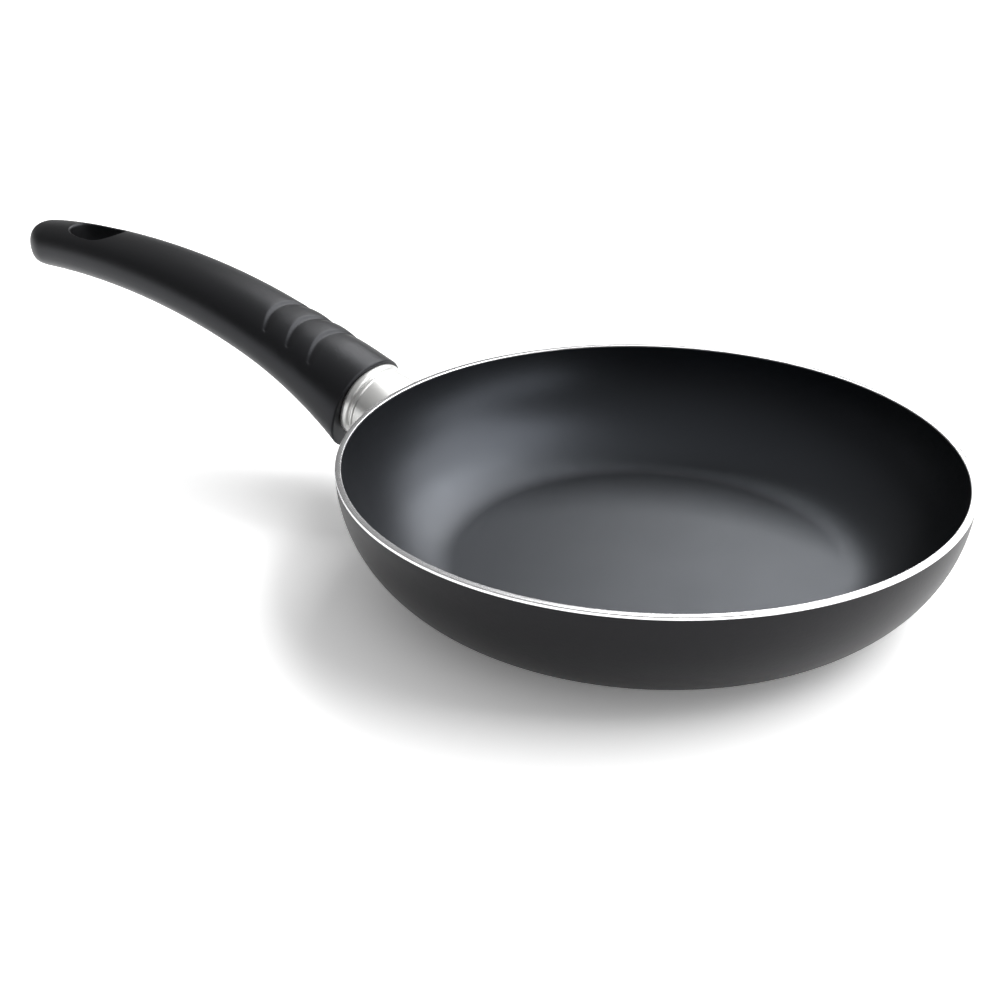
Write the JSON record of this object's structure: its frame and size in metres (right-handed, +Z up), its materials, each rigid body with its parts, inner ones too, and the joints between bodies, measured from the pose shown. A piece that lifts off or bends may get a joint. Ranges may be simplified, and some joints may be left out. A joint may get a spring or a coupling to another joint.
{
  "type": "omelette pan",
  "caption": "Shallow round non-stick frying pan with curved walls, a bare turned rim, a steel flame guard and a long arched handle with a stepped grip and a hanging slot.",
  "frame": {"origin": "centre of the flat base, on the surface the pan stands on", "axes": "+Z up, +X along the handle from the pan's centre towards the hanging slot"},
  "size_m": [0.3857, 0.2, 0.0712],
  "materials": {
    "bare_aluminium": "fine turned",
    "nonstick": "smooth non-stick, soft sheen",
    "lacquer": "anthracite satin lacquer",
    "guard_steel": "satin sleeve with a polished bead",
    "phenolic": "fine matt moulding",
    "zinc_steel": "bright zinc plate"
  },
  "bodies": {
    "root": {"pan_body": "bare_aluminium", "nonstick_lining": "nonstick", "outer_lacquer": "lacquer", "handle_stud": "bare_aluminium", "flame_guard": "guard_steel", "handle": "phenolic", "handle_screw": "zinc_steel", "flat_washer": "zinc_steel", "spring_washer": "zinc_steel"}
  },
  "joints": []
}
